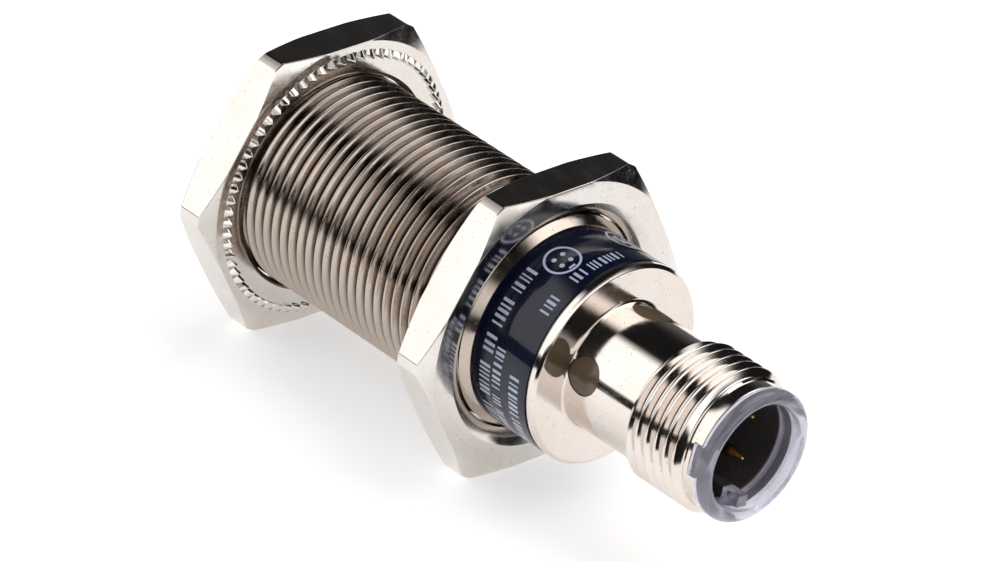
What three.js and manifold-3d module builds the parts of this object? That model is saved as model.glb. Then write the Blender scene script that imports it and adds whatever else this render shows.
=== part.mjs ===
// Inductive proximity sensor: M18 x 1 threaded barrel, two mounting nuts, M12 x 1 plug connector.
//
// Millimetres. The axis of the sensor is X: the sensing face is at x = 0 and the connector points
// along +X. +Z is up, square to a flat of each nut. Angles about the axis run from +Y towards +Z,
// in degrees.

import * as THREE from 'three';
import { mergeVertices } from 'three/addons/utils/BufferGeometryUtils.js';
import Module from 'manifold-3d';

const wasm = await Module();
wasm.setup();

// ---------------------------------------------------------------- driving dimensions

const ROUND_SIDES = 48; // sides of a large turned piece, a multiple of 6 so that it suits a hexagon
const INNER_SIDES = 36; // sides of a turned piece inside the housing
const WINDOW_SIDES = 20;
const PIN_SIDES = 12;
const WIRE_SIDES = 6;
const WIRE_STEPS = 8;
const PAST = 1; // how far a cutting shape runs past what it cuts
const SUNK = 0.2; // how far a joined shape is sunk into what it joins

const barrel = {
  front: 0.25,
  rear: 36.2,
  crest: 9.0, // radius over the M18 x 1 thread
  threadEnd: 29.2,
  seat: 8.33, // radius of the smooth seat under the label
  bore: 7.9,
  rearBore: 7.55,
  rearBoreDepth: 5.0,
  edge: 0.5,
};

const cap = { face: 0, disc: 0.95, rear: 8.0, outer: 7.84, bore: 7.2 };

const core = {
  front: 1.15,
  rear: 6.35,
  outer: 7.05,
  window: 6.0, // outer radius of the ring-shaped window for the coil
  post: 2.9,
  hole: 1.0,
  base: 1.3,
  leadHole: 0.45,
};

const bobbin = { play: 0.1, wall: 0.35 };

// Leads run straight for their reach at each end, and lie on the board at their lift.
const coilLead = { radius: 0.15, lift: 0.4, reach: 0.5 };
const pinLead = { radius: 0.25, lift: 0.35, reach: 0.6, spread: 1.3, gap: 0.3 };

const board = { front: 8.2, rear: 32.6, width: 11.0, thickness: 1.0 };

// The resin leaves a channel clear for the board and its parts.
const resin = {
  front: 9.0,
  rear: 30.6,
  radius: 7.75,
  channelWidth: 11.8,
  channelTop: 3.6,
  channelBottom: -2.4,
};

const label = { front: 30.0, rear: 36.05, inner: 8.36, outer: 8.45 };

const shell = {
  spigotFront: 31.6,
  spigot: 7.48,
  spigotBore: 6.5,
  flangeFront: 36.28,
  face: 36.9,
  flange: 8.45,
  neck: 5.3,
  fillet: 0.3,
  threadFront: 44.0,
  threadRear: 50.2,
  crest: 6.0, // radius over the M12 x 1 thread
  end: 51.3,
  tip: 5.4,
  bore: 4.92,
  shoulder: 41.6,
  edge: 0.35,
};

const windows = { count: 4, x: 38.55, radius: 1.55, firstAngle: 163, play: 0.03 };

const guide = { front: 36.6, rear: 40.7, inner: 4.1, outer: 4.8, face: 5.24 };

const carrier = {
  front: 41.8,
  floor: 43.4,
  end: 50.25,
  socket: 4.3,
  outer: 4.86,
  grooveFront: 42.2,
  grooveRear: 43.0,
  groove: 4.35,
};

const lipRing = {
  front: 50.35,
  lipFront: 51.36,
  end: 52.47,
  lip: 5.5,
  edge: 0.4, // the lip's section is nearly half round: it is kept as two bevels and a flat
};

const key = { angle: -97, width: 1.0, height: 0.95, rear: 52.0 };
const tab = { angle: 171, width: 2.5, front: 50.6, play: 0.1 };

const pin = {
  count: 4,
  circle: 2.5,
  radius: 0.5,
  front: 38.6,
  shoulder: 48.4,
  end: 49.7,
  tip: 0.12,
  play: 0.06,
};
const pinAngles = Array.from({ length: pin.count }, (_, i) => key.angle + 45 + (360 / pin.count) * i);

const nut = {
  acrossFlats: 24,
  corner: 13.6, // radius that the corners are turned to
  thickness: 3.3,
  chamferCircle: 12.15,
  chamferAngle: 22,
  bore: 9.15, // clear of the barrel's crests all the way along
  backCircle: 9.45,
  rimCircle: 10.3,
  mouthCircle: 9.65,
  rimDepth: 0.38,
  mouthDepth: 0.5,
  crownInner: 10.8,
  crownRidge: 10.95,
  crownOuter: 11.45,
  crownHeight: 0.5,
};
const frontNutFace = 1.28; // plain face of the front nut, towards the sensing face
const rearNutFace = 30.08; // plain face of the rear nut, towards the connector

// Finishes: colour, roughness and metalness.
const NICKEL = [0xb9aea4, 0.28, 1];
const NAVY_FILM = [0x10121f, 0.15, 0];
const BLACK_PLASTIC = [0x1b1b1d, 0.5, 0];
const CAP_PLASTIC = [0x23262c, 0.55, 0];
const DARK_PLASTIC = [0x2a241f, 0.4, 0];
const SMOKE_PLASTIC = [0x8a8a96, 0.15, 0];
const BROWN_PLASTIC = [0x4a3c24, 0.2, 0];
const RUBBER = [0x202020, 0.8, 0];
const GOLD = [0xc8962f, 0.25, 1];
const COPPER = [0xb5673a, 0.35, 1];
const FERRITE = [0x3a3836, 0.7, 0];
const BOARD_GREEN = [0x1f5a3a, 0.45, 0];
const RESIN = [0x2a2c30, 0.4, 0];
const CERAMIC = [0xc9b089, 0.5, 0];
const TANTALUM = [0xd08a2a, 0.45, 0];
const CLEAR_LED = [0xe6dcc0, 0.2, 0];

// ---------------------------------------------------------------- shape helpers

const radians = (degrees) => THREE.MathUtils.degToRad(degrees);

// Only the positions of a geometry, welded, without the flat triangles that a lathe makes on its axis.
function welded(geometry) {
  geometry.deleteAttribute('normal');
  geometry.deleteAttribute('uv');
  const merged = mergeVertices(geometry, 1e-4);
  const kept = [];
  for (let i = 0; i < merged.index.count; i += 3) {
    const [a, b, c] = [0, 1, 2].map((k) => merged.index.getX(i + k));
    if (a !== b && b !== c && c !== a) kept.push(a, b, c);
  }
  merged.setIndex(kept);
  return merged;
}

// A piece turned about X. The outline is a list of [x, radius] that closes on itself and runs
// anticlockwise when x points right and the radius points up.
function turned(outline, sides = ROUND_SIDES) {
  const points = [...outline, outline[0]].map(([x, radius]) => new THREE.Vector2(radius, -x));
  const geometry = new THREE.LatheGeometry(points, sides);
  geometry.rotateZ(Math.PI / 2);
  return welded(geometry);
}

const rod = (front, rear, radius, sides = ROUND_SIDES) =>
  turned([[front, 0], [rear, 0], [rear, radius], [front, radius]], sides);

const tube = (front, rear, inner, outer, sides = ROUND_SIDES) =>
  turned([[front, inner], [rear, inner], [rear, outer], [front, outer]], sides);

// A box from its lowest corner to its highest one.
function block(low, high) {
  const size = high.map((value, i) => value - low[i]);
  const geometry = new THREE.BoxGeometry(...size);
  geometry.translate(...low.map((value, i) => value + size[i] / 2));
  return welded(geometry);
}

// A wire of round section along a smooth curve.
function wire(points, radius) {
  const path = new THREE.CatmullRomCurve3(points.map((point) => new THREE.Vector3(...point)));
  const section = new THREE.Shape();
  section.absarc(0, 0, radius, 0, 2 * Math.PI);
  const options = { steps: WIRE_STEPS, curveSegments: WIRE_SIDES / 2, extrudePath: path };
  return welded(new THREE.ExtrudeGeometry(section, options));
}

// A cylinder whose axis points out along +Y, to be turned about X.
function radialRod(x, from, to, radius) {
  const geometry = new THREE.CylinderGeometry(radius, radius, to - from, WINDOW_SIDES);
  geometry.translate(x, (from + to) / 2, 0);
  return welded(geometry);
}

// The piece that make() gives, turned about X to each of count evenly spaced angles.
function around(count, firstAngle, make) {
  return Array.from({ length: count }, (_, i) =>
    make().rotateX(radians(firstAngle + (360 * i) / count)));
}

const polar = (x, radius, angle) => {
  const turn = radians(angle);
  return [x, radius * Math.cos(turn), radius * Math.sin(turn)];
};

function toSolid(geometry) {
  return new wasm.Manifold(new wasm.Mesh({
    numProp: 3,
    vertProperties: new Float32Array(geometry.attributes.position.array),
    triVerts: new Uint32Array(geometry.index.array),
  }));
}

function toGeometry(solid) {
  const mesh = solid.getMesh();
  const geometry = new THREE.BufferGeometry();
  geometry.setAttribute('position', new THREE.BufferAttribute(new Float32Array(mesh.vertProperties), 3));
  geometry.setIndex(new THREE.BufferAttribute(new Uint32Array(mesh.triVerts), 1));
  return geometry;
}

// A geometry with others joined to it and then others cut from it.
function shaped(base, { join = [], remove = [] }) {
  let solid = toSolid(base);
  for (const piece of join) solid = solid.add(toSolid(piece));
  for (const tool of remove) solid = solid.subtract(toSolid(tool));
  return toGeometry(solid);
}

// ---------------------------------------------------------------- the assembly

const sensor = new THREE.Group();

function add(name, geometry, [color, roughness, metalness]) {
  const mesh = new THREE.Mesh(geometry, new THREE.MeshStandardMaterial({ color, roughness, metalness }));
  mesh.name = name;
  sensor.add(mesh);
}

function addHousing() {
  const { front, rear, crest, threadEnd, seat, bore, rearBore, rearBoreDepth, edge } = barrel;
  const step = rear - rearBoreDepth;
  add('barrel', turned([
    [front, bore],
    [step, bore],
    [step, rearBore],
    [rear, rearBore],
    [rear, seat],
    [threadEnd + edge, seat],
    [threadEnd, crest],
    [front + edge, crest],
    [front, crest - edge],
  ]), NICKEL);
  add('type_label', tube(label.front, label.rear, label.inner, label.outer), NAVY_FILM);
  add('sensing_cap', turned([
    [cap.face, 0],
    [cap.disc, 0],
    [cap.disc, cap.bore],
    [cap.rear, cap.bore],
    [cap.rear, cap.outer],
    [cap.face, cap.outer],
  ]), CAP_PLASTIC);
}

// A pot core opens towards the sensing face, with the coil on its centre post.
function addSensingCoil() {
  const { front, rear, outer, window, post, hole, base, leadHole } = core;
  const windowEnd = rear - base;
  const pot = turned([
    [front, hole],
    [rear, hole],
    [rear, outer],
    [front, outer],
    [front, window],
    [windowEnd, window],
    [windowEnd, post],
    [front, post],
  ], INNER_SIDES);
  const leadRadius = (window + post) / 2;
  const leadHoles = [1, -1].map((side) =>
    rod(windowEnd - PAST, rear + PAST, leadHole, PIN_SIDES).translate(0, side * leadRadius, 0));
  add('ferrite_core', shaped(pot, { remove: leadHoles }), FERRITE);

  const inner = post + bobbin.play;
  const flange = window - bobbin.play;
  const low = front + bobbin.play;
  const high = windowEnd - bobbin.play;
  add('coil_bobbin', turned([
    [low, inner],
    [high, inner],
    [high, flange],
    [high - bobbin.wall, flange],
    [high - bobbin.wall, inner + bobbin.wall],
    [low + bobbin.wall, inner + bobbin.wall],
    [low + bobbin.wall, flange],
    [low, flange],
  ], INNER_SIDES), BLACK_PLASTIC);
  const play = bobbin.play;
  const windingEnd = high - bobbin.wall - play;
  const winding = [low + bobbin.wall + play, windingEnd, inner + bobbin.wall + play, flange - play];
  add('coil_winding', tube(...winding, INNER_SIDES), COPPER);

  const padHeight = board.thickness / 2 + coilLead.lift;
  [1, -1].forEach((side, i) => {
    const y = side * leadRadius;
    const route = [
      [windowEnd, y, 0],
      [rear + coilLead.reach, y, 0],
      [board.front, y, padHeight],
      [board.front + coilLead.reach, y, padHeight],
    ];
    add(`coil_lead_${i + 1}`, wire(route, coilLead.radius), COPPER);
  });
}

// Parts on the board: name, place along X and across Y, size, side of the board and finish.
const BOARD_PARTS = [
  ['oscillator_chip', 13.5, 0, [5.0, 4.0, 1.5], 1, BLACK_PLASTIC],
  ['output_transistor', 21.0, -1.4, [3.0, 3.4, 1.5], 1, BLACK_PLASTIC],
  ['storage_capacitor', 26.6, 1.0, [4.6, 3.2, 2.3], 1, TANTALUM],
  ['protection_diode', 21.2, 3.0, [3.6, 1.8, 1.2], 1, BLACK_PLASTIC],
  ['filter_capacitor_1', 12.0, 3.9, [2.0, 1.2, 0.9], 1, CERAMIC],
  ['filter_capacitor_2', 26.8, -2.6, [2.0, 1.2, 0.9], 1, CERAMIC],
  ['resistor_1', 12.5, -2.0, [2.0, 1.2, 0.5], -1, BLACK_PLASTIC],
  ['resistor_2', 17.5, 1.5, [2.0, 1.2, 0.5], -1, BLACK_PLASTIC],
  ['resistor_3', 23.0, -1.0, [2.0, 1.2, 0.5], -1, BLACK_PLASTIC],
  ['led_1', 31.6, 4.3, [1.4, 1.2, 0.9], 1, CLEAR_LED],
  ['led_2', 31.6, -4.3, [1.4, 1.2, 0.9], -1, CLEAR_LED],
];
const SOLDER_GAP = 0.05;

function addElectronics() {
  const { front, rear, width, thickness } = board;
  const top = thickness / 2;
  add('circuit_board', block([front, -width / 2, -top], [rear, width / 2, top]), BOARD_GREEN);
  for (const [name, x, y, [length, breadth, height], side, finish] of BOARD_PARTS) {
    const near = side * (top + SOLDER_GAP);
    const far = near + side * height;
    const low = [x - length / 2, y - breadth / 2, Math.min(near, far)];
    const high = [x + length / 2, y + breadth / 2, Math.max(near, far)];
    add(name, block(low, high), finish);
  }
  const { channelWidth, channelTop, channelBottom } = resin;
  const channel = block(
    [resin.front - PAST, -channelWidth / 2, channelBottom],
    [resin.rear + PAST, channelWidth / 2, channelTop],
  );
  const cast = rod(resin.front, resin.rear, resin.radius, INNER_SIDES);
  add('potting_resin', shaped(cast, { remove: [channel] }), RESIN);
}

// The tab of the lip ring, or the notch for it, which has some play all round.
function tabBlock(play) {
  const half = tab.width / 2 + play;
  const low = [tab.front - play, shell.bore - SUNK, -half];
  const high = [shell.end + SUNK, shell.crest, half];
  return block(low, high).rotateX(radians(tab.angle));
}

// A stretch of the rib that keys the plug, standing in from the socket's wall.
function keyRib(front, rear) {
  const low = [front, carrier.socket - key.height, -key.width / 2];
  const high = [rear, carrier.socket + SUNK, key.width / 2];
  return block(low, high).rotateX(radians(key.angle));
}

// The turned shell closes the barrel's rear end and carries the M12 x 1 thread.
function addConnectorShell() {
  const s = shell;
  const turnedShell = turned([
    [s.spigotFront, s.spigotBore],
    [s.flangeFront, s.spigotBore],
    [s.flangeFront, s.bore],
    [s.end, s.bore],
    [s.end, s.tip],
    [s.threadRear + s.edge, s.tip],
    [s.threadRear, s.crest],
    [s.threadFront + s.edge, s.crest],
    [s.threadFront, s.neck],
    [s.face + s.fillet, s.neck],
    [s.face, s.neck + s.fillet],
    [s.face, s.flange - s.edge],
    [s.face - s.edge, s.flange],
    [s.flangeFront, s.flange],
    [s.flangeFront, s.spigot],
    [s.spigotFront, s.spigot],
  ]);
  const holes = around(windows.count, windows.firstAngle, () =>
    radialRod(windows.x, s.bore - PAST, s.neck + PAST, windows.radius));
  add('connector_shell', shaped(turnedShell, { remove: [...holes, tabBlock(tab.play)] }), NICKEL);

  const bosses = around(windows.count, windows.firstAngle, () =>
    radialRod(windows.x, guide.outer - SUNK, guide.face, windows.radius - windows.play));
  const ring = tube(guide.front, guide.rear, guide.inner, guide.outer);
  add('light_guide', shaped(ring, { join: bosses }), BROWN_PLASTIC);
}

// The moulded carrier holds the contacts in the floor of its socket.
function addContactCarrier() {
  const c = carrier;
  const cup = turned([
    [c.front, 0],
    [c.floor, 0],
    [c.floor, c.socket],
    [c.end, c.socket],
    [c.end, c.outer],
    [c.grooveRear, c.outer],
    [c.grooveRear, c.groove],
    [c.grooveFront, c.groove],
    [c.grooveFront, c.outer],
    [c.front, c.outer],
  ]);
  const pinHoles = pinAngles.map((angle) => {
    const hole = rod(c.front - PAST, c.floor + PAST, pin.radius + pin.play, PIN_SIDES);
    return hole.translate(...polar(0, pin.circle, angle));
  });
  const rib = keyRib(c.floor - SUNK, c.end);
  add('contact_carrier', shaped(cup, { join: [rib], remove: pinHoles }), DARK_PLASTIC);

  const play = 0.05;
  const sealSpan = [c.grooveFront + play, c.grooveRear - play];
  add('carrier_seal', tube(...sealSpan, c.groove + play, shell.bore - play), RUBBER);
}

// The clear ring goes on to the end of the socket. Its lip covers the end of the shell, and its tab
// sits in a notch there.
function addLipRing() {
  const { front, lipFront, end, lip, edge } = lipRing;
  const ring = turned([
    [front, carrier.socket],
    [end - edge, carrier.socket],
    [end, carrier.socket + edge],
    [end, lip - edge],
    [end - edge, lip],
    [lipFront, lip],
    [lipFront, carrier.outer],
    [front, carrier.outer],
  ]);
  const tabRod = rod(tab.front, lipFront + SUNK, shell.tip);
  const trimmedTab = toGeometry(toSolid(tabBlock(0)).intersect(toSolid(tabRod)));
  add('lip_ring', shaped(ring, { join: [keyRib(front, key.rear), trimmedTab] }), SMOKE_PLASTIC);
}

function addContacts() {
  pinAngles.forEach((angle, i) => {
    const contact = turned([
      [pin.front, 0],
      [pin.end, 0],
      [pin.end, pin.tip],
      [pin.shoulder, pin.radius],
      [pin.front, pin.radius],
    ], PIN_SIDES);
    add(`pin_${i + 1}`, contact.translate(...polar(0, pin.circle, angle)), GOLD);

    const { radius, lift, reach, spread, gap } = pinLead;
    const [, y, z] = polar(0, pin.circle, angle);
    const padHeight = Math.sign(z) * (board.thickness / 2 + lift);
    const route = [
      [board.rear - reach, spread * y, padHeight],
      [board.rear + reach, spread * y, padHeight],
      [pin.front - 2 * reach, y, z],
      [pin.front - gap, y, z],
    ];
    add(`pin_lead_${i + 1}`, wire(route, radius), COPPER);
  });
}

// A nut with its plain face at x = 0, reaching towards -X, where a ring of teeth stands on it.
function nutGeometry() {
  const n = nut;
  const drop = (n.corner - n.chamferCircle) * Math.tan(radians(n.chamferAngle));
  const blank = turned([
    [-n.thickness, 0],
    [0, 0],
    [0, n.chamferCircle],
    [-drop, n.corner],
    [drop - n.thickness, n.corner],
    [-n.thickness, n.chamferCircle],
  ]);
  const hexagon = rod(-n.thickness - PAST, PAST, n.acrossFlats / 2 / Math.cos(radians(30)), 6);
  hexagon.rotateX(radians(30));
  const body = toSolid(blank).intersect(toSolid(hexagon));

  const toothEnd = -n.thickness - n.crownHeight;
  const crown = turned([
    [SUNK - n.thickness, n.crownInner],
    [SUNK - n.thickness, n.crownOuter],
    [-n.thickness, n.crownOuter],
    [toothEnd, n.crownRidge],
    [toothEnd, n.crownInner],
  ]);
  const bore = turned([
    [toothEnd - PAST, 0],
    [PAST, 0],
    [PAST, n.rimCircle],
    [0, n.rimCircle],
    [-n.rimDepth, n.mouthCircle],
    [-n.rimDepth - n.mouthDepth, n.bore],
    [n.backCircle - n.bore - n.thickness, n.bore],
    [-n.thickness, n.backCircle],
    [toothEnd - PAST, n.backCircle],
  ]);
  return toGeometry(body.add(toSolid(crown)).subtract(toSolid(bore)));
}

function addNuts() {
  add('nut_front', nutGeometry().rotateZ(Math.PI).translate(frontNutFace, 0, 0), NICKEL);
  add('nut_rear', nutGeometry().translate(rearNutFace, 0, 0), NICKEL);
}

addHousing();
addSensingCoil();
addElectronics();
addConnectorShell();
addContactCarrier();
addLipRing();
addContacts();
addNuts();

export default sensor;
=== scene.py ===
import itertools
import math
import random

import bmesh
import bpy
import numpy as np
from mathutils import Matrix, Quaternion, Vector


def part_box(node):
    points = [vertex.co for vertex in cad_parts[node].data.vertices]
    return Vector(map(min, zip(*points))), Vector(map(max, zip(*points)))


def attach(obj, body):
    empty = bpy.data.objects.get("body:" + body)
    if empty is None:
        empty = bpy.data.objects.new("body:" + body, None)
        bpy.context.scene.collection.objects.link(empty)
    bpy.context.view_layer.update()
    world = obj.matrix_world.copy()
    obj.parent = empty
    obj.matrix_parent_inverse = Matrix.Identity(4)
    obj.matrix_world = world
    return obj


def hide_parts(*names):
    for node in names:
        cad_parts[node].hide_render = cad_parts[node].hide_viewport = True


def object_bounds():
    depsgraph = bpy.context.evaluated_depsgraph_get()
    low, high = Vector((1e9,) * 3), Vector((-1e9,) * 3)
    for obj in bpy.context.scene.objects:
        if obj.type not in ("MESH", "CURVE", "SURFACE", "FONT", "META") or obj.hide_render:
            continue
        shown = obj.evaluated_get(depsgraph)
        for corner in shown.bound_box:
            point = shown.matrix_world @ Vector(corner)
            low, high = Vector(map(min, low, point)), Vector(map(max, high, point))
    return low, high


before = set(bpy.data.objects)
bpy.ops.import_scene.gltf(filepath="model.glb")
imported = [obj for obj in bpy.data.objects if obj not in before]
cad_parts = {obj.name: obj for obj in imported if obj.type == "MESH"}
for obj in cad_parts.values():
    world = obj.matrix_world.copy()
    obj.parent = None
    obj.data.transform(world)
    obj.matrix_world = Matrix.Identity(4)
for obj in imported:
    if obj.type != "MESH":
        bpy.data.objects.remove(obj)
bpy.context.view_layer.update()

MM = 0.001
SIDES = 144  # columns of a turned piece
TAU = 2 * math.pi


# ---------------------------------------------------------------- sizes taken from the frame, in mm

def span(node):
    """First and last x of a CAD node, and its largest radius about the axis, in mm."""
    low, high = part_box(node)
    return low.x / MM, high.x / MM, max(high.y, high.z) / MM


BARREL_FRONT, BARREL_REAR, BARREL_CREST = span("barrel")
CAP_FRONT, CAP_REAR, CAP_RADIUS = span("sensing_cap")
LABEL_FRONT, LABEL_REAR, LABEL_RADIUS = span("type_label")
SHELL_FRONT, SHELL_END, FLANGE_RADIUS = span("connector_shell")
CARRIER_FRONT, CARRIER_END, CARRIER_RADIUS = span("contact_carrier")
RING_FRONT, RING_END, LIP_RADIUS = span("lip_ring")
GUIDE_FRONT, GUIDE_REAR, _ = span("light_guide")
PIN_FRONT, PIN_END, _ = span("pin_1")
NUT_FRONT_FACE = span("nut_front")[0]
NUT_REAR_FACE = span("nut_rear")[1]

PITCH = 1.0  # of both threads
BARREL_THREAD_END = 29.1
BARREL_DEPTH = 0.6
BARREL_SEAT = 8.33
BARREL_BORE = 7.9
BARREL_STEP = 31.2  # x where the bore narrows for the shell's spigot
BARREL_REAR_BORE = 7.55
COLLAR = (29.2, 29.95)  # a cone from the thread's crests down to the label's seat
COLLAR_TOP = ((0.03, 0.04), (0.0, 0.06))  # (past its start, below the crests)
COLLAR_FOOT = ((0.05, 0.0), (0.0, 0.06), (-0.08, 0.06))  # (past its end, above the seat)
PAINTED_ROOT_SHADE = (8.44, 8.80, 29.15)  # painted shade in the thread's roots: radius where it is darkest, radius where it ends, last x
CAP_DISC = 0.95  # x of the disc's inner face
CAP_BORE = 7.2
LABEL_INNER = 8.36
SHELL_FACE = 36.9
SHELL_STEP = 36.28  # x where the spigot meets the flange
FLANGE_START = 36.3
FLANGE_EDGE = ((0.0, 0.32), (0.06, 0.2), (0.22, 0.0))  # (in front of the face, inside the radius)
SPIGOT_RADIUS = 7.48
SPIGOT_BORE = 6.5
NECK_RADIUS = 5.3
NECK_FILLET = ((0.35, 0.0), (0.1, 0.1), (0.0, 0.35))  # (behind the face, outside the radius)
PLUG_THREAD = (44.0, 50.2)
PLUG_CREST = 6.0
PLUG_DEPTH = 0.6
SHELL_TIP_RADIUS = 5.4
SHELL_TIP_CHAMFER = 0.12
SHELL_BORE = 4.92
SEAL_GROOVE = (42.2, 43.0)
SEAL_GROOVE_RADIUS = 4.35
SOCKET_FLOOR = 43.4
SOCKET_RADIUS = 4.3
LIP_FRONT = 51.36
WINDOW_X = 38.55
WINDOW_RADIUS = 1.55
WINDOW_ANGLES = (163, 73, -17, -107)
WINDOW_CUT = (4.0, 6.4)  # radii that each hole is cut between
GUIDE_INNER = 4.1
GUIDE_OUTER = 4.8
BOSS_ROOT = 4.4
BOSS_RIM = 5.18
BOSS_DOME = 5.24  # radius of the cylinder that a boss's end follows
BOSS_PLAY = 0.03
KEY_ANGLE = -97
KEY_EDGE = 3.35  # distance of the rib's inner edge from the axis
KEY_HALF = 0.5
KEY_END = 52.0
TAB_ANGLE = 171
TAB_FRONT = 50.6
TAB_HALF = 1.25
TAB_ROOT = SHELL_BORE - 0.3
NOTCH_PLAY = 0.1
PIN_CIRCLE = 2.5
PIN_RADIUS = 0.5
PIN_TIP = ((0.0, 0.0), (0.01, 0.08), (0.09, 0.14), (1.3, PIN_RADIUS))  # (behind the tip, radius)
PIN_HOLE = 0.56
OVERLAP = 0.2  # how far a joined shape runs into its neighbour
PAST = 0.3  # how far the notch's cutting box runs past the shell's end


# ---------------------------------------------------------------- mesh helpers

CORNER_SHARE = 0.45  # a corner's curve takes at most this much of each side
WELD = 2e-7  # metres
DOME_ROWS = (0.97, 0.9, 0.6, 0.3)  # share of a rod's radius


def rounded(points, cut, steps=3):
    """Closed outlines (..., n, 2) with each corner off the axis turned into a small curve."""
    points = np.asarray(points, float)
    back = np.roll(points, 1, axis=-2) - points
    ahead = np.roll(points, -1, axis=-2) - points
    back_length = np.linalg.norm(back, axis=-1, keepdims=True)
    ahead_length = np.linalg.norm(ahead, axis=-1, keepdims=True)
    most = CORNER_SHARE * np.minimum(back_length, ahead_length)
    reach = np.minimum(np.broadcast_to(cut, back_length.shape), most)
    reach = np.where(points[..., 1:] < 1e-6, 0, reach)
    start = points + back / np.maximum(back_length, 1e-9) * reach
    end = points + ahead / np.maximum(ahead_length, 1e-9) * reach
    curve = [
        (1 - t) ** 2 * start + 2 * t * (1 - t) * points + t**2 * end
        for t in np.linspace(0, 1, steps + 1)
    ]
    joined = np.stack(curve, axis=-2)
    return joined.reshape(*points.shape[:-2], -1, 2)


def sweep(profiles, angles, closed=True):
    """Vertices and faces of profiles (columns, rows, (x, radius)), one at each angle about X."""
    x, radius = profiles[..., 0], profiles[..., 1]
    turn = np.asarray(angles)[:, None]
    verts = np.stack([x, radius * np.cos(turn), radius * np.sin(turn)], axis=-1)
    columns, rows = x.shape
    index = np.arange(columns * rows).reshape(columns, rows)
    beside = np.roll(index, -1, axis=0)
    last = rows if closed else rows - 1
    after = np.roll(index, -1, axis=1)[:, :last]
    beside_after = np.roll(beside, -1, axis=1)[:, :last]
    faces = np.stack([index[:, :last], after, beside_after, beside[:, :last]], axis=-1)
    return verts.reshape(-1, 3), faces.reshape(-1, 4)


def revolve(outline, cut=0.05, sides=SIDES, closed=True):
    """A turned piece. Its outline of (x, radius) runs anticlockwise, x to the right and radius up."""
    profile = rounded(outline, cut) if closed and cut else np.asarray(outline, float)
    angles = np.arange(sides) * TAU / sides
    return sweep(np.broadcast_to(profile, (sides, *profile.shape)), angles, closed)


THREAD_OFFSET = (0.0, 0.04, 0.07, 0.105, 0.36, 0.41, 0.45, 0.5)  # share of the pitch from the crest
THREAD_HEIGHT = (1.0, 0.99, 0.95, 0.86, 0.14, 0.05, 0.01, 0.0)  # share of the depth


def thread(front, rear, crest, depth, sides=SIDES):
    """A helical thread between two x, running out at 45 degrees to its root at both ends."""
    offsets = np.array(THREAD_OFFSET[:-1] + tuple(1 - t for t in THREAD_OFFSET[:0:-1]))
    heights = np.array(THREAD_HEIGHT[:-1] + THREAD_HEIGHT[:0:-1])
    first = math.floor(front / PITCH) - 2
    turns = math.ceil(rear / PITCH) + 2 - first
    per_turn = len(offsets)
    along = (first + np.arange(turns)[:, None] + offsets[None, :]).reshape(-1) * PITCH
    column = np.arange(sides)
    x = along[:, None] + column[None, :] * PITCH / sides
    radius = crest - depth * (1 - np.tile(heights, turns))[:, None]
    root = crest - depth
    limit = root + np.minimum(x - front, rear - x)
    radius = np.clip(np.minimum(radius, limit), root, crest)
    x = np.clip(x, front, rear)
    turn = column * TAU / sides
    verts = np.stack([x, radius * np.cos(turn), radius * np.sin(turn)], axis=-1).reshape(-1, 3)
    faces = []
    for row in range(len(along) - 1 - per_turn):
        for j in range(sides):
            step = row * sides + j
            ahead = step + 1 if j + 1 < sides else (row + per_turn) * sides
            faces.append((step, ahead, ahead + sides, step + sides))
    return verts, faces


def radial_rod(x, angle, inner, outer, radius, sides=64, dome=0.0):
    """A round rod pointing out at an angle in degrees. A dome radius makes its end follow a cylinder."""
    ring = np.arange(sides) * TAU / sides
    rows = [(inner, 0.0), (inner, radius), (outer, radius)]
    if dome:
        rows += [(dome, radius * share) for share in DOME_ROWS]
    rows += [(dome or outer, 0.0)]
    verts = []
    for height, reach in rows:
        across = reach * np.sin(ring)
        lift = np.full(sides, height)
        if dome and height != inner:
            lift = np.sqrt(height**2 - across**2)
        verts.append(np.stack([x + reach * np.cos(ring), lift, across], axis=-1))
    verts = np.concatenate(verts)
    faces = []
    for row in range(len(rows) - 1):
        for j in range(sides):
            k = (j + 1) % sides
            faces.append((row * sides + j, row * sides + k, (row + 1) * sides + k, (row + 1) * sides + j))
    return turned_about_x(verts, angle), faces


def box(low, high, angle=0.0):
    """A box between two corners, turned about X by an angle in degrees."""
    verts = list(itertools.product(*zip(low, high)))
    faces = [(0, 1, 3, 2), (4, 6, 7, 5), (0, 4, 5, 1), (2, 3, 7, 6), (0, 2, 6, 4), (1, 5, 7, 3)]
    return turned_about_x(np.array(verts, float), angle), faces


def turned_about_x(verts, angle):
    cos, sin = math.cos(math.radians(angle)), math.sin(math.radians(angle))
    x, y, z = np.asarray(verts, float).T
    return np.stack([x, y * cos - z * sin, y * sin + z * cos], axis=-1)


def polar(x, radius, angle):
    turn = math.radians(angle)
    return np.array([x, radius * math.cos(turn), radius * math.sin(turn)])


def mesh_object(name, parts, crease=30):
    """One object from parts of (vertices in mm, faces), welded, smooth, and sharp over the crease angle."""
    bm = bmesh.new()
    for verts, faces in parts:
        made = [bm.verts.new(Vector(v) * MM) for v in verts.tolist()]
        for face in faces:
            bm.faces.new([made[i] for i in face])
    bmesh.ops.remove_doubles(bm, verts=bm.verts, dist=WELD)
    bmesh.ops.dissolve_degenerate(bm, edges=bm.edges, dist=WELD / 20)
    bmesh.ops.recalc_face_normals(bm, faces=bm.faces)
    mesh = bpy.data.meshes.new(name)
    bm.to_mesh(mesh)
    bm.free()
    obj = bpy.data.objects.new(name, mesh)
    bpy.context.scene.collection.objects.link(obj)
    smooth(obj, crease)
    return obj


def smooth(obj, crease=30):
    obj.data.shade_smooth()
    obj.data.set_sharp_from_angle(angle=math.radians(crease))


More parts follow.
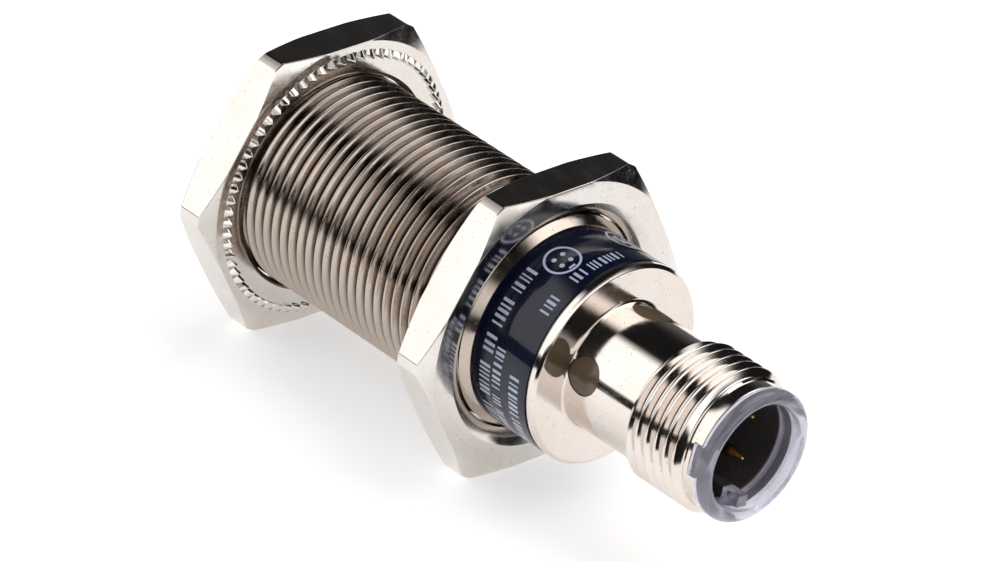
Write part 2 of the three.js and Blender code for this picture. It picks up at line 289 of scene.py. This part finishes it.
def carve(obj, parts, operation="DIFFERENCE", crease=30):
    """Cuts each of the parts from obj, or joins it."""
    for part in parts:
        tool = mesh_object("tool", [part])
        modifier = obj.modifiers.new("carve", "BOOLEAN")
        modifier.operation = operation
        modifier.solver = "EXACT"
        modifier.object = tool
        bpy.context.view_layer.update()
        evaluated = obj.evaluated_get(bpy.context.evaluated_depsgraph_get())
        mesh = bpy.data.meshes.new_from_object(evaluated)
        obj.modifiers.clear()
        obj.data = mesh
        bpy.data.objects.remove(tool)
    smooth(obj, crease)
    return obj


def flat_normals(obj):
    """Large faces keep their own normal, and the narrow ones at their edges take the turn."""
    modifier = obj.modifiers.new("normals", "WEIGHTED_NORMAL")
    modifier.keep_sharp = True
    modifier.weight = 80
    return obj


def place(obj, material, nodes, body="housing"):
    obj.data.materials.clear()
    obj.data.materials.append(material)
    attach(obj, body)
    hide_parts(*nodes)
    return obj


# ---------------------------------------------------------------- material helpers

class Shading:
    """A Principled material and short ways to add nodes to it."""

    def __init__(self, name, colour, roughness, metallic=0.0, **sockets):
        self.material = bpy.data.materials.new(name)
        self.material.use_nodes = True
        self.tree = self.material.node_tree
        self.shader = self.tree.nodes["Principled BSDF"]
        self.set("Base Color", (*colour, 1))
        self.set("Roughness", roughness)
        self.set("Metallic", metallic)
        for socket, value in sockets.items():
            self.set(socket.replace("_", " "), value)
        self.normal = None

    def set(self, socket, value):
        self.shader.inputs[socket].default_value = value

    def node(self, kind, inputs=None, **properties):
        made = self.tree.nodes.new(kind)
        for key, value in properties.items():
            setattr(made, key, value)
        for key, value in (inputs or {}).items():
            if hasattr(value, "is_output"):
                self.tree.links.new(value, made.inputs[key])
            else:
                made.inputs[key].default_value = value
        return made

    def link(self, output, socket):
        self.tree.links.new(output, self.shader.inputs[socket])

    def place(self):
        """Object coordinates in millimetres."""
        coordinates = self.node("ShaderNodeTexCoord").outputs["Object"]
        return self.scaled(coordinates, (1 / MM,) * 3)

    def scaled(self, vector, factors):
        return self.node("ShaderNodeVectorMath", {0: vector, 1: factors}, operation="MULTIPLY").outputs[0]

    def math(self, operation, a, b=0.0):
        return self.node("ShaderNodeMath", {0: a, 1: b}, operation=operation).outputs[0]

    def turned_place(self):
        """x, distance from the axis and angle about it, for marks that run round a turned piece."""
        split = self.node("ShaderNodeSeparateXYZ", {0: self.place()})
        x, y, z = (split.outputs[i] for i in range(3))
        square = self.math("ADD", self.math("MULTIPLY", y, y), self.math("MULTIPLY", z, z))
        radius = self.math("SQRT", square)
        angle = self.math("ARCTAN2", z, y)
        return self.node("ShaderNodeCombineXYZ", {0: x, 1: radius, 2: angle}).outputs[0]

    def noise(self, vector, scale, detail=3.0, stretch=None):
        if stretch:
            vector = self.scaled(vector, stretch)
        made = self.node("ShaderNodeTexNoise", {"Vector": vector, "Scale": scale, "Detail": detail})
        return made.outputs["Fac"]

    def ramp(self, value, low, high, to_low=0.0, to_high=1.0):
        made = self.node("ShaderNodeMapRange", {0: value, 1: low, 2: high, 3: to_low, 4: to_high})
        return made.outputs[0]

    def mix(self, factor, a, b):
        made = self.node("ShaderNodeMix", {"Factor": factor}, data_type="RGBA")
        for socket, value in ((6, a), (7, b)):
            if hasattr(value, "is_output"):
                self.tree.links.new(value, made.inputs[socket])
            else:
                made.inputs[socket].default_value = (*value, 1)
        return made.outputs[2]

    def bump(self, height, distance):
        """Adds a bump of that height, in millimetres."""
        inputs = {"Height": height, "Distance": distance * MM, "Strength": 1.0}
        if self.normal:
            inputs["Normal"] = self.normal
        self.normal = self.node("ShaderNodeBump", inputs).outputs[0]
        self.link(self.normal, "Normal")


STAIN = (0.97, 0.94, 0.90)  # what a stain multiplies the plating's colour by
SPECK = (0.30, 0.25, 0.20)
ROOT_SHADOW_BRIGHTNESS = 0.10  # brightness of the painted shade in the thread's roots, as a share of the plating's colour


def nickel(name, roughness, tint, groove=None, root_shade=None):
    """Nickel plating over brass, with soft stains and small specks.

    A groove is the depth in mm of turning marks round the axis. Root shade is two radii and the thread's
    last x,
    in mm: painted shade darkens the thread up to the first radius, and is gone from the second radius and
    past that x."""
    s = Shading(name, tint, roughness, 1.0)
    turned = s.turned_place()
    here = s.place()
    stains = s.noise(here, 0.35, 4.0)
    specks = s.ramp(s.noise(here, 5.0, 2.0), 0.67, 0.72)
    stained = tuple(c * k for c, k in zip(tint, STAIN))
    warm = s.mix(s.ramp(stains, 0.35, 0.7), tint, stained)
    colour = s.mix(s.math("MULTIPLY", specks, 0.55), warm, SPECK)
    # Painted shade: the thread's roots are darkened as if shade fell in them.
    if root_shade:
        bottom, top, last = root_shade
        split = s.node("ShaderNodeSeparateXYZ", {0: turned})
        x, radius = split.outputs[0], split.outputs[1]
        unshaded = s.math("MAXIMUM", s.ramp(radius, bottom, top), s.ramp(x, last - 0.05, last + 0.05))
        colour = s.mix(unshaded, tuple(ROOT_SHADOW_BRIGHTNESS * c for c in tint), colour)
    s.link(colour, "Base Color")
    smear = s.ramp(s.noise(here, 0.9, 5.0, (0.4, 1.0, 1.0)), 0.3, 0.75, -0.35 * roughness, 0.55 * roughness)
    rough = s.math("ADD", smear, roughness)
    s.link(s.math("ADD", rough, s.math("MULTIPLY", specks, 0.15)), "Roughness")
    if groove:
        s.bump(s.noise(turned, 7.0, 2.0, (1.0, 1.0, 0.02)), groove)
    s.bump(s.noise(here, 14.0, 3.0), 0.0012)
    return s.material


def moulded(name, colour, roughness, grain=0.004, grain_scale=9.0, **sockets):
    """Moulded plastic, rubber or resin with a fine grain and a slight change of colour."""
    s = Shading(name, colour, roughness, **sockets)
    here = s.place()
    cloud = s.noise(here, 0.6, 4.0)
    darker = tuple(0.82 * c for c in colour)
    s.link(s.mix(s.ramp(cloud, 0.3, 0.7), darker, colour), "Base Color")
    s.link(s.ramp(s.noise(here, 2.2, 3.0), 0.3, 0.7, 0.8 * roughness, 1.2 * roughness), "Roughness")
    s.bump(s.noise(here, grain_scale, 3.0), grain)
    return s.material


def metal(name, colour, roughness, scale=5.0):
    """A small plated or drawn metal part."""
    s = Shading(name, colour, roughness, 1.0)
    here = s.place()
    shade = s.ramp(s.noise(here, scale, 4.0), 0.3, 0.7)
    s.link(s.mix(shade, tuple(0.8 * c for c in colour), colour), "Base Color")
    s.link(s.ramp(shade, 0, 1, 0.8 * roughness, 1.3 * roughness), "Roughness")
    s.bump(s.noise(here, 3 * scale, 2.0, (0.3, 1.0, 1.0)), 0.003)
    return s.material


def board_material():
    """Green solder mask over a glass weave, with copper tracks that show through it."""
    s = Shading("solder_mask", (0.02, 0.16, 0.07), 0.3, Coat_Weight=0.5, Coat_Roughness=0.1)
    here = s.place()
    tracks = s.node("ShaderNodeTexBrick", {"Vector": here, "Scale": 0.55, "Mortar Size": 0.035}, offset=0.37)
    weave = s.node("ShaderNodeTexWave", {"Vector": here, "Scale": 4.0, "Distortion": 1.0})
    s.link(s.mix(tracks.outputs["Fac"], (0.016, 0.13, 0.06), (0.04, 0.26, 0.10)), "Base Color")
    s.link(s.ramp(weave.outputs["Fac"], 0, 1, 0.25, 0.38), "Roughness")
    s.bump(tracks.outputs["Fac"], 0.03)
    s.bump(weave.outputs["Fac"], 0.004)
    return s.material


# The barrel's nickel is darker than the shell's. This is partly its own warmer tone and partly painted shade
# for the shadowed floor that its thread reflects.
# The barrel's thread roots get painted shade.
NICKEL_BARREL_TONE_AND_SHADE = nickel("nickel_barrel_tone_and_shade", 0.15, (0.50, 0.43, 0.38), 0.0003, root_shade=PAINTED_ROOT_SHADE)
NICKEL_SHELL = nickel("nickel_shell", 0.10, (0.74, 0.68, 0.64), 0.0003)
NICKEL_NUT = nickel("nickel_nut", 0.13, (0.72, 0.685, 0.655))
NAVY = moulded(
    "navy_film", (0.004, 0.006, 0.022), 0.25, 0.0006, 4.0, Specular_IOR_Level=0.12, Coat_Weight=0.6,
    Coat_Roughness=0.04)
PRINT = moulded("pale_print", (0.50, 0.56, 0.72), 0.35, 0.001, 12.0)
CAP = moulded("cap_plastic", (0.03, 0.032, 0.038), 0.5, 0.006, 8.0)
SMOKE = moulded(
    "smoke_plastic", (0.80, 0.79, 0.90), 0.16, 0.0002, 3.0, Transmission_Weight=0.82, IOR=1.46)
UMBER = moulded("umber_moulding", (0.070, 0.060, 0.062), 0.32, 0.0015)
AMBER = moulded("brown_guide", (0.19, 0.135, 0.085), 0.14, 0.001, 4.0, Transmission_Weight=0.25, IOR=1.49)
BLACK = moulded("black_moulding", (0.02, 0.02, 0.022), 0.45)
RUBBER = moulded("seal_rubber", (0.015, 0.015, 0.015), 0.75)
RESIN = moulded("potting_resin", (0.025, 0.03, 0.035), 0.3, 0.01, 1.5)
FERRITE = moulded("ferrite", (0.045, 0.042, 0.04), 0.65, 0.012, 6.0)
CERAMIC = moulded("ceramic", (0.42, 0.30, 0.17), 0.45)
TANTALUM = moulded("yellow_case", (0.55, 0.26, 0.03), 0.4)
LED = moulded("led_lens", (0.75, 0.70, 0.55), 0.12, Transmission_Weight=0.4)
GOLD = metal("gold_plate", (0.75, 0.50, 0.16), 0.18)
COPPER = metal("enamelled_copper", (0.62, 0.27, 0.12), 0.3)
BOARD = board_material()


# ---------------------------------------------------------------- housing

def make_barrel():
    root = BARREL_CREST - BARREL_DEPTH
    rest = [
        (BARREL_FRONT, root),
        (BARREL_FRONT, BARREL_BORE),
        (BARREL_STEP, BARREL_BORE),
        (BARREL_STEP, BARREL_REAR_BORE),
        (BARREL_REAR, BARREL_REAR_BORE),
        (BARREL_REAR, BARREL_SEAT),
        *[(COLLAR[1] + past, BARREL_SEAT + above) for past, above in COLLAR_FOOT],
        *[(COLLAR[0] + past, BARREL_CREST - below) for past, below in COLLAR_TOP],
        (BARREL_THREAD_END, root),
    ]
    parts = [
        thread(BARREL_FRONT, BARREL_THREAD_END, BARREL_CREST, BARREL_DEPTH),
        revolve(rest, closed=False),
    ]
    place(mesh_object("barrel_threaded", parts, 35), NICKEL_BARREL_TONE_AND_SHADE, ["barrel"])


def make_cap():
    outline = [
        (CAP_FRONT, 0),
        (CAP_DISC, 0),
        (CAP_DISC, CAP_BORE),
        (CAP_REAR, CAP_BORE),
        (CAP_REAR, CAP_RADIUS),
        (CAP_FRONT, CAP_RADIUS),
    ]
    place(mesh_object("sensing_cap_moulded", [revolve(outline, 0.15)]), CAP, ["sensing_cap"])


def make_label():
    outline = [
        (LABEL_FRONT, LABEL_INNER),
        (LABEL_REAR, LABEL_INNER),
        (LABEL_REAR, LABEL_RADIUS),
        (LABEL_FRONT, LABEL_RADIUS),
    ]
    place(mesh_object("label_film", [revolve(outline, 0.03)]), NAVY, ["type_label"])


# The print is a made-up pattern: groups of bars where a label has words, and pin-layout circles.
# A row is its first and last x, and the first and last angle of each group, in degrees. The print reads
# towards smaller angles.
BAR_ROWS = (
    (31.00, 32.12, ((246, 204), (198, 178), (172, 162), (157, 141), (137, 123))),
    (32.40, 33.30, ((232, 206), (201, 194), (190, 167))),
    (34.25, 35.25, ((230, 204), (201, 177))),
    (34.40, 35.35, ((139, 127), (116, 107), (104, 82))),
    (31.40, 32.20, ((34, 12), (6, -20), (-26, -56))),
    (32.90, 33.50, ((34, -4), (-10, -46))),
    (34.40, 35.00, ((34, 20), (14, -30))),
)
PIN_MARKS = ((109.4, 32.65, 1.5), (64, 32.5, 1.5), (-84, 33.0, 1.9))  # (angle, x, radius)
BAR_WIDTHS = (0.13, 0.17, 0.26)
BAR_GAPS = (0.19, 0.24, 0.34)
INK_HEIGHT = 0.006
INK_SUNK = 0.02
PRINT_SEED = 18
# Parts of a pin mark, as shares of its radius.
MARK_RING = 0.87  # the ring's inner edge
MARK_CIRCLE = 0.42  # the circle that its dots stand on
MARK_DOT = 0.14
MARK_KEY = (0.66, 0.8)
MARK_KEY_HALF = 0.3  # mm


def ink_slab(first, second, closed=False):
    """A thin raised patch on the label between two rows of (angle, x)."""
    corners = np.stack([first, second, second, first], axis=1)
    lift = np.array([LABEL_RADIUS - INK_SUNK] * 2 + [LABEL_RADIUS + INK_HEIGHT] * 2)
    turn = np.radians(corners[..., 0])
    verts = np.stack([corners[..., 1], lift * np.cos(turn), lift * np.sin(turn)], axis=-1).reshape(-1, 3)
    count = len(first)
    faces = []
    for i in range(count if closed else count - 1):
        j = (i + 1) % count
        faces += [(4 * i + k, 4 * j + k, 4 * j + (k + 1) % 4, 4 * i + (k + 1) % 4) for k in range(4)]
    if not closed:
        faces += [(0, 1, 2, 3), tuple(4 * (count - 1) + k for k in range(4))]
    return verts, faces


def ink_bar(start, end, low, high):
    angles = np.linspace(start, end, 3)
    return ink_slab(np.stack([angles, np.full(3, low)], -1), np.stack([angles, np.full(3, high)], -1))


def ink_ring(angle, x, inner, outer, degrees):
    ring = np.arange(48) * TAU / 48
    round_it = np.stack([np.sin(ring) * degrees, np.cos(ring)], axis=-1)
    return ink_slab((angle, x) + inner * round_it, (angle, x) + outer * round_it, closed=True)


def ink_dot(angle, x, radius, degrees):
    across = np.linspace(-0.97, 0.97, 13) * radius
    half = np.sqrt(radius**2 - across**2)
    angles = angle + across * degrees
    return ink_slab(np.stack([angles, x - half], -1), np.stack([angles, x + half], -1))


def bar_group(chance, start, end, low, high, degrees):
    """Bars of chance widths, from the start angle down to the end."""
    bars = []
    while start > end:
        width = chance.choice(BAR_WIDTHS) * degrees
        bars.append(ink_bar(start - width, start, low, high))
        start -= width + chance.choice(BAR_GAPS) * degrees
    return bars


def pin_mark(angle, x, radius, degrees):
    """A ring with four dots and a short key bar in it."""
    parts = [ink_ring(angle, x, MARK_RING * radius, radius, degrees)]
    reach = MARK_CIRCLE * radius
    for k in range(4):
        turn = math.radians(45 + 90 * k)
        dot = (angle + reach * math.sin(turn) * degrees, x + reach * math.cos(turn))
        parts.append(ink_dot(*dot, MARK_DOT * radius, degrees))
    half = MARK_KEY_HALF * degrees
    low, high = (x + share * radius for share in MARK_KEY)
    parts.append(ink_bar(angle - half, angle + half, low, high))
    return parts


def make_print():
    chance = random.Random(PRINT_SEED)
    degrees = math.degrees(1 / LABEL_RADIUS)  # per mm round the label
    parts = []
    for low, high, groups in BAR_ROWS:
        for start, end in groups:
            parts += bar_group(chance, start, end, low, high, degrees)
    for angle, x, radius in PIN_MARKS:
        parts += pin_mark(angle, x, radius, degrees)
    ink = mesh_object("label_print", parts)
    ink.data.materials.append(PRINT)
    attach(ink, "housing")


# ---------------------------------------------------------------- nuts

NUT_THICKNESS = 3.3
NUT_FLAT = 12.0
NUT_CORNER = 13.6
NUT_CHAMFER = 12.15
CHAMFER_SLOPE = math.tan(math.radians(22))
LEAST_CHAMFER = (0.04, 0.05)  # along the axis and across it, in the middle of a flat
NUT_BORE = 9.12
NUT_MOUTH = (0.3, 9.45)  # depth and radius of the bore's chamfer on the toothed side
COUNTERSINK = ((-0.88, NUT_BORE), (-0.38, 9.65), (0.0, 10.3))  # (x, radius), out to the plain face
CORNER_BLEND = 0.05
EDGE_ROUND = 0.05
TEETH = 69
TOOTH_HEIGHT = 0.5
TOOTH_STEEPNESS = 1.15
TOOTH_GAP = 0.12
TOOTH_OUTSIDE = (11.45, 10.97)  # radius at the foot and at the tip
TOOTH_INSIDE = (10.79, 10.8)
TOOTH_ROUND = 0.03
TOOTH_STEPS = (0.0, 0.055, 0.25, 0.46, 0.5, 0.54, 0.75, 0.945)  # share of a tooth's pitch
CORNER_STEPS = (0.0, 0.9, 1.5, 1.7, 1.93, 2.15, 2.4, 3.0, 4.5)  # degrees from a corner


def nut_angles():
    teeth = [(k + step) * 360 / TEETH for k in range(TEETH) for step in TOOTH_STEPS]
    corners = [60 * k + side * step for k in range(6) for step in CORNER_STEPS for side in (-1, 1)]
    return np.unique(np.round(np.mod(teeth + corners, 360), 3))


def nut_edge(angles):
    """Outer radius at each angle: a hexagon whose corners are turned off, with a little rounding."""
    hexagon = NUT_FLAT / np.cos(np.radians(np.mod(angles, 60) - 30))
    overlap = np.maximum(CORNER_BLEND - np.abs(hexagon - NUT_CORNER), 0) / CORNER_BLEND
    return np.minimum(hexagon, NUT_CORNER) - overlap**2 * CORNER_BLEND / 4


def tooth_height(angles):
    share = np.mod(angles * TEETH / 360, 1)
    wave = np.clip(TOOTH_STEEPNESS * (1 - np.abs(2 * share - 1)) - TOOTH_GAP, 0, 1)
    return TOOTH_HEIGHT * wave


def nut_body_rows(edge):
    """The outline without its teeth, as rows of (x, radius): up the bore, over the face and the flats."""
    least_drop, least_inset = LEAST_CHAMFER
    drop = np.maximum((edge - NUT_CHAMFER) * CHAMFER_SLOPE, least_drop)
    face_edge = np.minimum(edge - least_inset, NUT_CHAMFER)
    mouth_depth, mouth_radius = NUT_MOUTH
    back = -NUT_THICKNESS
    return [
        (back, mouth_radius),
        (back + mouth_depth, NUT_BORE),
        *COUNTERSINK,
        (0.0, face_edge),
        (-drop, edge),
        (back + drop, edge),
        (back, face_edge),
    ]


def nut_tooth_rows(height):
    foot = -NUT_THICKNESS
    return [
        (foot, TOOTH_OUTSIDE[0]),
        (foot - height, TOOTH_OUTSIDE[1]),
        (foot - height, TOOTH_INSIDE[1]),
        (foot, TOOTH_INSIDE[0]),
    ]


def nut_part(face, facing):
    """A nut with its plain face at x = face. Facing is 1 where that face looks along +X, and -1 along -X."""
    angles = nut_angles()
    body = nut_body_rows(nut_edge(angles))
    teeth = nut_tooth_rows(tooth_height(angles))
    rows = [np.broadcast_arrays(*row, angles)[:2] for row in body + teeth]
    profiles = np.stack([np.stack(row, axis=-1) for row in rows], axis=1)
    cuts = np.array([[EDGE_ROUND]] * len(body) + [[TOOTH_ROUND]] * len(teeth))
    verts, faces = sweep(rounded(profiles, cuts, 2), np.radians(angles))
    if facing < 0:
        verts = verts * (-1, -1, 1)
    return verts + (face, 0, 0), faces


def make_nuts():
    for name, face, facing, body in (
        ("nut_front", NUT_FRONT_FACE, -1, "front_nut"),
        ("nut_rear", NUT_REAR_FACE, 1, "rear_nut"),
    ):
        nut = mesh_object(name + "_toothed", [nut_part(face, facing)], 12)
        place(nut, NICKEL_NUT, [name], body)


# ---------------------------------------------------------------- connector

def notch_box():
    """What the shell's notch is cut with: the lip ring's tab and a little play round it."""
    half = TAB_HALF + NOTCH_PLAY
    low = (TAB_FRONT - NOTCH_PLAY, TAB_ROOT, -half)
    high = (SHELL_END + PAST, LIP_RADIUS + OVERLAP, half)
    return box(low, high, TAB_ANGLE)


def make_shell():
    root = PLUG_CREST - PLUG_DEPTH
    rest = [
        (PLUG_THREAD[0], root),
        (PLUG_THREAD[0] - 0.05, NECK_RADIUS),
        *[(SHELL_FACE + behind, NECK_RADIUS + outside) for behind, outside in NECK_FILLET],
        *[(SHELL_FACE - before, FLANGE_RADIUS - inside) for before, inside in FLANGE_EDGE],
        (FLANGE_START, FLANGE_RADIUS),
        (SHELL_STEP, SPIGOT_RADIUS),
        (SHELL_FRONT, SPIGOT_RADIUS),
        (SHELL_FRONT, SPIGOT_BORE),
        (SHELL_STEP, SPIGOT_BORE),
        (SHELL_STEP, SHELL_BORE),
        (SHELL_END, SHELL_BORE),
        (SHELL_END, SHELL_TIP_RADIUS - SHELL_TIP_CHAMFER),
        (SHELL_END - SHELL_TIP_CHAMFER, SHELL_TIP_RADIUS),
        (PLUG_THREAD[1], root),
    ]
    parts = [thread(*PLUG_THREAD, PLUG_CREST, PLUG_DEPTH), revolve(rest, closed=False)]
    shell = mesh_object("connector_shell_threaded", parts, 35)
    holes = [radial_rod(WINDOW_X, angle, *WINDOW_CUT, WINDOW_RADIUS) for angle in WINDOW_ANGLES]
    carve(shell, [*holes, notch_box()], crease=35)
    place(flat_normals(shell), NICKEL_SHELL, ["connector_shell"])


def make_light_guide():
    outline = [
        (GUIDE_FRONT, GUIDE_INNER),
        (GUIDE_REAR, GUIDE_INNER),
        (GUIDE_REAR, GUIDE_OUTER),
        (GUIDE_FRONT, GUIDE_OUTER),
    ]
    guide = mesh_object("light_guide_ring", [revolve(outline)])
    bosses = [
        radial_rod(WINDOW_X, angle, BOSS_ROOT, BOSS_RIM, WINDOW_RADIUS - BOSS_PLAY, dome=BOSS_DOME)
        for angle in WINDOW_ANGLES
    ]
    carve(guide, bosses, "UNION")
    place(guide, AMBER, ["light_guide"])


def key_rib(front, rear):
    return box((front, KEY_EDGE, -KEY_HALF), (rear, SOCKET_RADIUS + OVERLAP, KEY_HALF), KEY_ANGLE)


def pin_centre(k):
    return polar(0, PIN_CIRCLE, KEY_ANGLE + 45 + 90 * k)


def make_carrier():
    outline = [
        (CARRIER_FRONT, 0),
        (SOCKET_FLOOR, 0),
        (SOCKET_FLOOR, SOCKET_RADIUS),
        (CARRIER_END, SOCKET_RADIUS),
        (CARRIER_END, CARRIER_RADIUS),
        (SEAL_GROOVE[1], CARRIER_RADIUS),
        (SEAL_GROOVE[1], SEAL_GROOVE_RADIUS),
        (SEAL_GROOVE[0], SEAL_GROOVE_RADIUS),
        (SEAL_GROOVE[0], CARRIER_RADIUS),
        (CARRIER_FRONT, CARRIER_RADIUS),
    ]
    carrier = mesh_object("contact_carrier_moulded", [revolve(outline)])
    carve(carrier, [key_rib(SOCKET_FLOOR - OVERLAP, CARRIER_END)], "UNION")
    start, end = CARRIER_FRONT - 1, SOCKET_FLOOR + 1
    verts, faces = revolve([(start, 0), (end, 0), (end, PIN_HOLE), (start, PIN_HOLE)], 0, 32)
    carve(carrier, [(verts + pin_centre(k), faces) for k in range(4)])
    place(carrier, UMBER, ["contact_carrier"])


def make_lip_ring():
    middle = (SOCKET_RADIUS + LIP_RADIUS) / 2
    half = (LIP_RADIUS - SOCKET_RADIUS) / 2
    lip = [
        (RING_END - half + half * math.sin(t), middle - half * math.cos(t))
        for t in np.linspace(0.04, math.pi - 0.04, 25)
    ]
    sleeve = SHELL_BORE - 0.06  # just clear of the shell's bore
    outline = [
        (RING_FRONT, SOCKET_RADIUS),
        *lip,
        (LIP_FRONT, LIP_RADIUS),
        (LIP_FRONT, sleeve),
        (RING_FRONT, sleeve),
    ]
    ring = mesh_object("lip_ring_clear", [revolve(outline, 0.03)])
    low = (TAB_FRONT, TAB_ROOT, -TAB_HALF)
    high = (LIP_FRONT + OVERLAP, SHELL_TIP_RADIUS - 0.02, TAB_HALF)
    carve(ring, [key_rib(RING_FRONT, KEY_END), box(low, high, TAB_ANGLE)], "UNION")
    place(ring, SMOKE, ["lip_ring"])


def make_pins():
    outline = [
        (PIN_FRONT, 0),
        *[(PIN_END - behind, radius) for behind, radius in PIN_TIP],
        (PIN_FRONT, PIN_RADIUS),
    ]
    verts, faces = revolve(outline, 0.06, 48)
    for k in range(4):
        pin = mesh_object(f"contact_{k + 1}", [(verts + pin_centre(k), faces)])
        place(pin, GOLD, [f"pin_{k + 1}"])


# ---------------------------------------------------------------- pieces that stay as their CAD nodes

KEPT_NODES = {
    RUBBER: ["carrier_seal"],
    FERRITE: ["ferrite_core"],
    BLACK: [
        "coil_bobbin", "oscillator_chip", "output_transistor", "protection_diode",
        "resistor_1", "resistor_2", "resistor_3",
    ],
    COPPER: [
        "coil_winding", "coil_lead_1", "coil_lead_2", "pin_lead_1", "pin_lead_2", "pin_lead_3", "pin_lead_4",
    ],
    BOARD: ["circuit_board"],
    TANTALUM: ["storage_capacitor"],
    CERAMIC: ["filter_capacitor_1", "filter_capacitor_2"],
    LED: ["led_1", "led_2"],
    RESIN: ["potting_resin"],
}


def finish_kept_nodes():
    for material, names in KEPT_NODES.items():
        for name in names:
            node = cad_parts[name]
            node.data.materials.clear()
            node.data.materials.append(material)
            smooth(node)


# ---------------------------------------------------------------- floor, light and camera

CAMERA_PLACE = Vector((320.83, -309.19, 248.30)) * MM
CAMERA_AZIMUTH = 43.85
CAMERA_ELEVATION = 30.0
CAMERA_ROLL = 7.62
CAMERA_LENS = 232.69
SENSOR_WIDTH = 36
CLIP_NEAR = 0.01
CLIP_FAR = 20


def make_camera():
    azimuth, elevation = math.radians(CAMERA_AZIMUTH), math.radians(CAMERA_ELEVATION)
    level = math.cos(elevation)
    back = Vector((math.sin(azimuth) * level, -math.cos(azimuth) * level, math.sin(elevation)))
    camera = bpy.data.objects.new("camera", bpy.data.cameras.new("camera"))
    bpy.context.scene.collection.objects.link(camera)
    camera.location = CAMERA_PLACE
    camera.rotation_mode = "QUATERNION"
    level_view = back.to_track_quat("Z", "Y")
    camera.rotation_quaternion = level_view @ Quaternion((0, 0, 1), math.radians(CAMERA_ROLL))
    camera.data.lens = CAMERA_LENS
    camera.data.sensor_width = SENSOR_WIDTH
    camera.data.clip_start = CLIP_NEAR
    camera.data.clip_end = CLIP_FAR
    bpy.context.scene.camera = camera


# Two corners of the table, in metres. It is small, because its edges show in the polished metal.
TABLE = ((-0.16, -0.09), (0.07, 0.60))
TABLE_GLOW = 0.5


def make_floor():
    (left, near), (right, far) = TABLE
    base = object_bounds()[0].z
    mesh = bpy.data.meshes.new("floor")
    corners = [(left, near), (right, near), (right, far), (left, far)]
    mesh.from_pydata([(x, y, base) for x, y in corners], [], [(0, 1, 2, 3)])
    floor = bpy.data.objects.new("floor", mesh)
    bpy.context.scene.collection.objects.link(floor)
    s = Shading("floor_paper", (0.9, 0.9, 0.9), 0.6, Emission_Strength=TABLE_GLOW)
    s.set("Emission Color", (1, 1, 1, 1))
    s.link(s.ramp(s.noise(s.place(), 0.05, 2.0), 0, 1, 0.55, 0.65), "Roughness")
    mesh.materials.append(s.material)


# Light from all round: a level, and for each soft edge a direction with the cosines it spans.
STUDIO = (
    (0.010, []),
    # the large light, to the camera's left
    (1.50, [
        ((0, -1, 0), 0.0, 0.25),
        ((0, 0, 1), 0.05, 0.09),
        ((0, 0, -1), -0.90, -0.80),
        ((-1, 0, 0), -0.2, 0.1),
    ]),
    # a faint one opposite the camera
    (0.12, [
        ((0, 1, 0), 0.0, 0.3),
        ((0, 0, -1), -0.6, 0.0),
        ((-1, 0, 0), 0.0, 0.4),
    ]),
    # a low one that faces the plug
    (1.60, [
        ((1, 0, 0), 0.55, 0.80),
        ((0, 0, 1), -0.02, 0.06),
        ((0, 0, -1), -0.50, -0.35),
        ((0, -1, 0), -0.80, -0.5),
    ]),
    # one overhead, a little behind
    (2.20, [
        ((0.2, 0.45, 0.87), 0.80, 0.92),
    ]),
)


def world_math(tree, operation, a, b):
    made = tree.nodes.new("ShaderNodeMath")
    made.operation = operation
    for i, value in enumerate((a, b)):
        if hasattr(value, "is_output"):
            tree.links.new(value, made.inputs[i])
        else:
            made.inputs[i].default_value = value
    return made.outputs[0]


def soft_edge(tree, direction, towards, start, full):
    """0 to 1, as the cosine between the direction and towards goes from start to full."""
    dot = tree.nodes.new("ShaderNodeVectorMath")
    dot.operation = "DOT_PRODUCT"
    dot.inputs[1].default_value = towards
    tree.links.new(direction, dot.inputs[0])
    blend = tree.nodes.new("ShaderNodeMapRange")
    blend.interpolation_type = "SMOOTHSTEP"
    blend.inputs[1].default_value = start
    blend.inputs[2].default_value = full
    tree.links.new(dot.outputs["Value"], blend.inputs[0])
    return blend.outputs[0]


def make_world():
    world = bpy.data.worlds.new("studio")
    bpy.context.scene.world = world
    world.use_nodes = True
    tree = world.node_tree
    direction = tree.nodes.new("ShaderNodeTexCoord").outputs["Generated"]
    total = 0.0
    for level, edges in STUDIO:
        part = level
        for edge in edges:
            part = world_math(tree, "MULTIPLY", soft_edge(tree, direction, *edge), part)
        total = world_math(tree, "ADD", part, total)
    # Behind the object the room is white, seen past it or through its clear plastic.
    path = tree.nodes.new("ShaderNodeLightPath").outputs
    seen = world_math(tree, "MAXIMUM", path["Is Camera Ray"], path["Is Transmission Ray"])
    total = world_math(tree, "MAXIMUM", total, seen)
    background = tree.nodes["Background"]
    background.inputs["Color"].default_value = (1, 1, 1, 1)
    tree.links.new(total, background.inputs["Strength"])


make_camera()
make_barrel()
make_cap()
make_label()
make_print()
make_nuts()
make_shell()
make_light_guide()
make_carrier()
make_lip_ring()
make_pins()
finish_kept_nodes()
make_floor()
make_world()
bpy.context.scene.view_settings.view_transform = "Standard"
